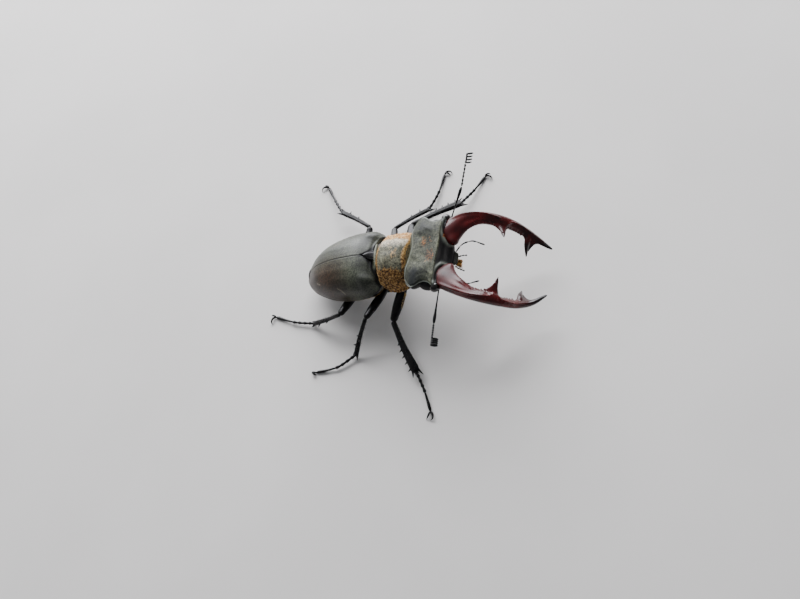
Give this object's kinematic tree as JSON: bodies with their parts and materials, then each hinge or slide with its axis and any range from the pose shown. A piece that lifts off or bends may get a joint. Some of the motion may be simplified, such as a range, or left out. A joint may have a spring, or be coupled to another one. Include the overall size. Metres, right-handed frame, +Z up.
{
  "type": "stag beetle",
  "caption": "Male stag beetle on spread legs, a still life-size figure with antler-like jaws, bent feelers, a broad head and domed wing cases.",
  "frame": {"origin": "on the floor, under the middle of the beetle's bounding box", "axes": "+X forwards, towards the jaws; +Y to the beetle's own left; +Z up"},
  "size_m": [0.0784, 0.0732, 0.0209],
  "materials": {
    "wing_case": "satin chitin, dark olive grey-green with a pale bloom",
    "head": "finely granular chitin, dull grey-green",
    "pronotum": "granular chitin, grey-green with ochre down",
    "underside": "smooth black-brown chitin",
    "jaw": "polished dark chestnut-red chitin, darker at the tips",
    "eye": "glossy black, finely faceted",
    "feeler": "glossy black-brown chitin",
    "leg": "glossy black chitin",
    "mouth_brush": "orange-gold bristles"
  },
  "bodies": {
    "root": {"elytron_left": "wing_case", "elytron_right": "wing_case", "scutellum": "wing_case", "abdomen": "underside", "metathorax": "underside", "pronotum": "pronotum", "prosternum": "underside", "mesothorax": "underside", "head": "head", "labrum": "underside", "mouth_brush": "mouth_brush", "jaw_left": "jaw", "eye_left": "eye", "jaw_right": "jaw", "eye_right": "eye", "maxillary_palp_left": "feeler", "maxillary_palp_right": "feeler", "labial_palp_left": "feeler", "labial_palp_right": "feeler", "scape_left": "feeler", "funicle_left": "feeler", "scape_right": "feeler", "funicle_right": "feeler", "coxa_front_left": "leg", "femur_front_left": "leg", "tibia_front_left": "leg", "tarsus_front_left": "leg", "coxa_front_right": "leg", "femur_front_right": "leg", "tibia_front_right": "leg", "tarsus_front_right": "leg", "coxa_middle_left": "leg", "femur_middle_left": "leg", "tibia_middle_left": "leg", "tarsus_middle_left": "leg", "coxa_middle_right": "leg", "femur_middle_right": "leg", "tibia_middle_right": "leg", "tarsus_middle_right": "leg", "coxa_hind_left": "leg", "femur_hind_left": "leg", "tibia_hind_left": "leg", "tarsus_hind_left": "leg", "coxa_hind_right": "leg", "femur_hind_right": "leg", "tibia_hind_right": "leg", "tarsus_hind_right": "leg"}
  },
  "joints": []
}
